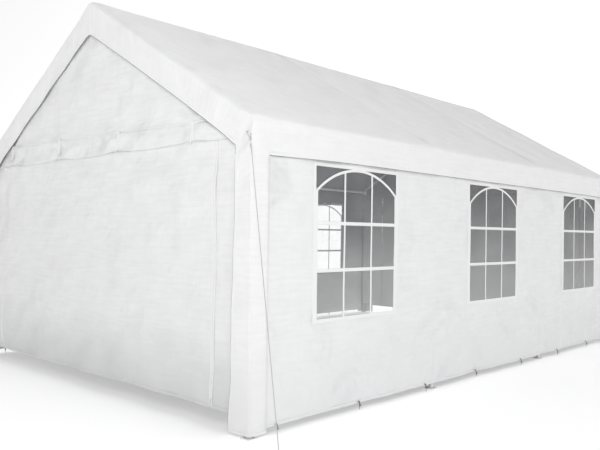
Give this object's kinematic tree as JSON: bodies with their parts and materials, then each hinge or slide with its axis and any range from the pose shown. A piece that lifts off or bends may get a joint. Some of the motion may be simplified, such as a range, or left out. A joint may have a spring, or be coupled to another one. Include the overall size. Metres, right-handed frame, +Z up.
{
  "type": "marquee tent",
  "caption": "Party marquee with a gabled tube frame, sheet cover, windowed side walls, roll-up end doors and guy ropes.",
  "frame": {"origin": "on the ground at the middle of the footprint", "axes": "+Z up, +Y along the ridge from the front end to the rear end, +X to the right as seen from the front"},
  "size_m": [5.21, 6.81, 3.0443],
  "materials": {
    "steel": "white powder coat, satin",
    "cover": "white woven polyethylene sheet, dull sheen",
    "wall": "white woven polyethylene sheet, dull sheen",
    "window_film": "clear flexible film",
    "rope": "braided cord"
  },
  "bodies": {
    "root": {"post_front_left": "steel", "rafter_front_left": "steel", "post_front_right": "steel", "rafter_front_right": "steel", "ridge_fitting_front": "steel", "post_second_left": "steel", "rafter_second_left": "steel", "post_second_right": "steel", "rafter_second_right": "steel", "ridge_fitting_second": "steel", "post_third_left": "steel", "rafter_third_left": "steel", "post_third_right": "steel", "rafter_third_right": "steel", "ridge_fitting_third": "steel", "post_rear_left": "steel", "rafter_rear_left": "steel", "post_rear_right": "steel", "rafter_rear_right": "steel", "ridge_fitting_rear": "steel", "ridge_tube_front": "steel", "eave_tube_front_left": "steel", "window_front_left": "window_film", "eave_tube_front_right": "steel", "window_front_right": "window_film", "ridge_tube_middle": "steel", "eave_tube_middle_left": "steel", "window_middle_left": "window_film", "eave_tube_middle_right": "steel", "window_middle_right": "window_film", "ridge_tube_rear": "steel", "eave_tube_rear_left": "steel", "window_rear_left": "window_film", "eave_tube_rear_right": "steel", "window_rear_right": "window_film", "roof_cover": "cover", "front_gable_flap": "cover", "front_end_wall": "wall", "front_door": "wall", "guy_rope_front_left": "rope", "guy_rope_front_right": "rope", "rear_gable_flap": "cover", "rear_end_wall": "wall", "rear_door": "wall", "guy_rope_rear_left": "rope", "guy_rope_rear_right": "rope", "left_wall": "wall", "right_wall": "wall"}
  },
  "joints": []
}
